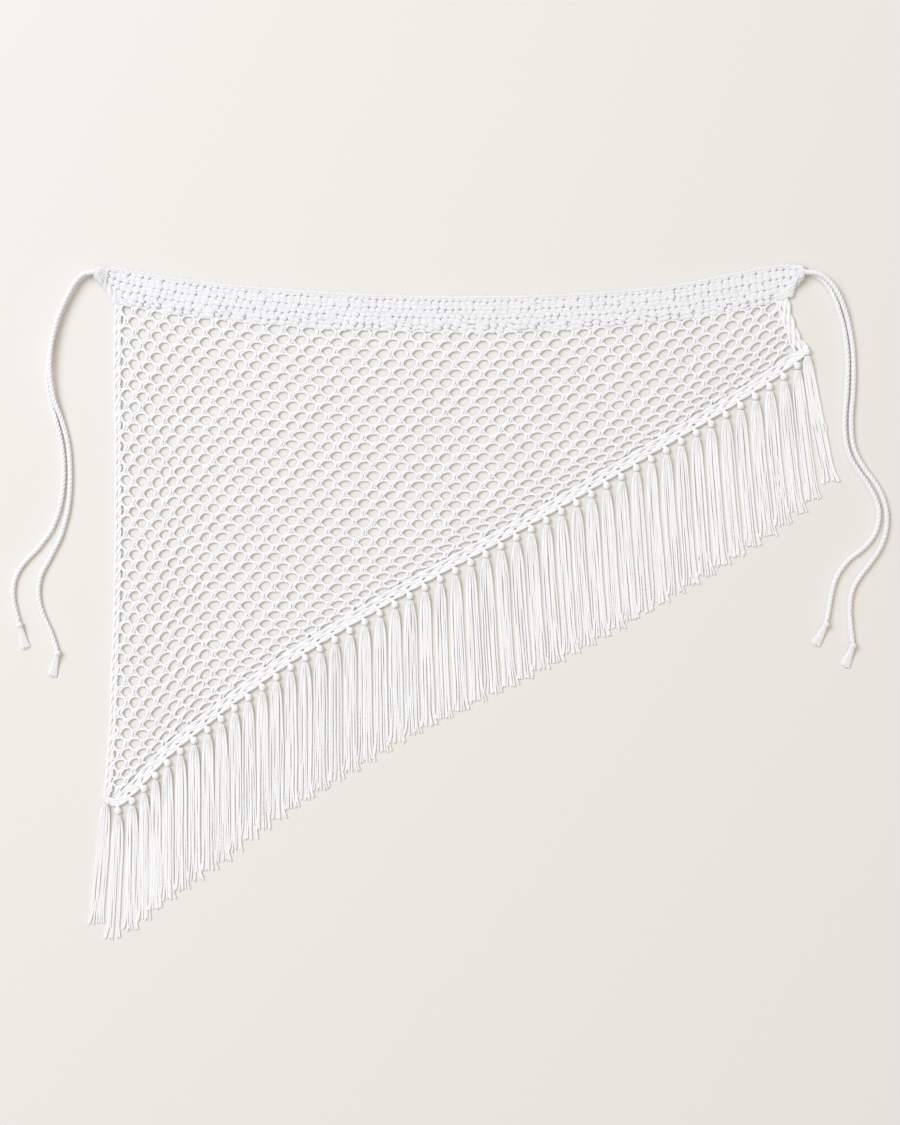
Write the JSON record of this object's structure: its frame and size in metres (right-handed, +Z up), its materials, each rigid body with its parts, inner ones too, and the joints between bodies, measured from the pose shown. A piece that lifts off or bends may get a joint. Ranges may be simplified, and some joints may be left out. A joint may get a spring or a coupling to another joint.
{
  "type": "crochet sarong",
  "caption": "Triangular open-net crochet sarong lying flat, with a solid crochet waistband, a pair of braided ties at each end and a knotted tassel fringe along its slanting hem.",
  "frame": {"origin": "on the surface, under the middle of the box of the cloth and its fringe", "axes": "+X along the waistband from the long side to the short side, +Y from hem to waist, +Z up from the surface"},
  "size_m": [1.0972, 0.8426, 0.0137],
  "materials": {
    "crochet_cotton": "matt worsted cotton, crocheted",
    "fringe_yarn": "soft plied cotton yarn",
    "tie_cord": "braided cotton cord"
  },
  "bodies": {
    "root": {"waistband": "crochet_cotton", "net_panel": "crochet_cotton", "left_edging": "crochet_cotton", "right_edging": "crochet_cotton", "hem_edging": "crochet_cotton", "fringe_01": "fringe_yarn", "fringe_02": "fringe_yarn", "fringe_03": "fringe_yarn", "fringe_04": "fringe_yarn", "fringe_05": "fringe_yarn", "fringe_06": "fringe_yarn", "fringe_07": "fringe_yarn", "fringe_08": "fringe_yarn", "fringe_09": "fringe_yarn", "fringe_10": "fringe_yarn", "tie_left_upper": "tie_cord", "tie_left_lower": "tie_cord", "tie_right_inner": "tie_cord", "tie_right_outer": "tie_cord", "end_left_upper": "tie_cord", "end_left_lower": "tie_cord", "end_right_inner": "tie_cord", "end_right_outer": "tie_cord"}
  },
  "joints": []
}
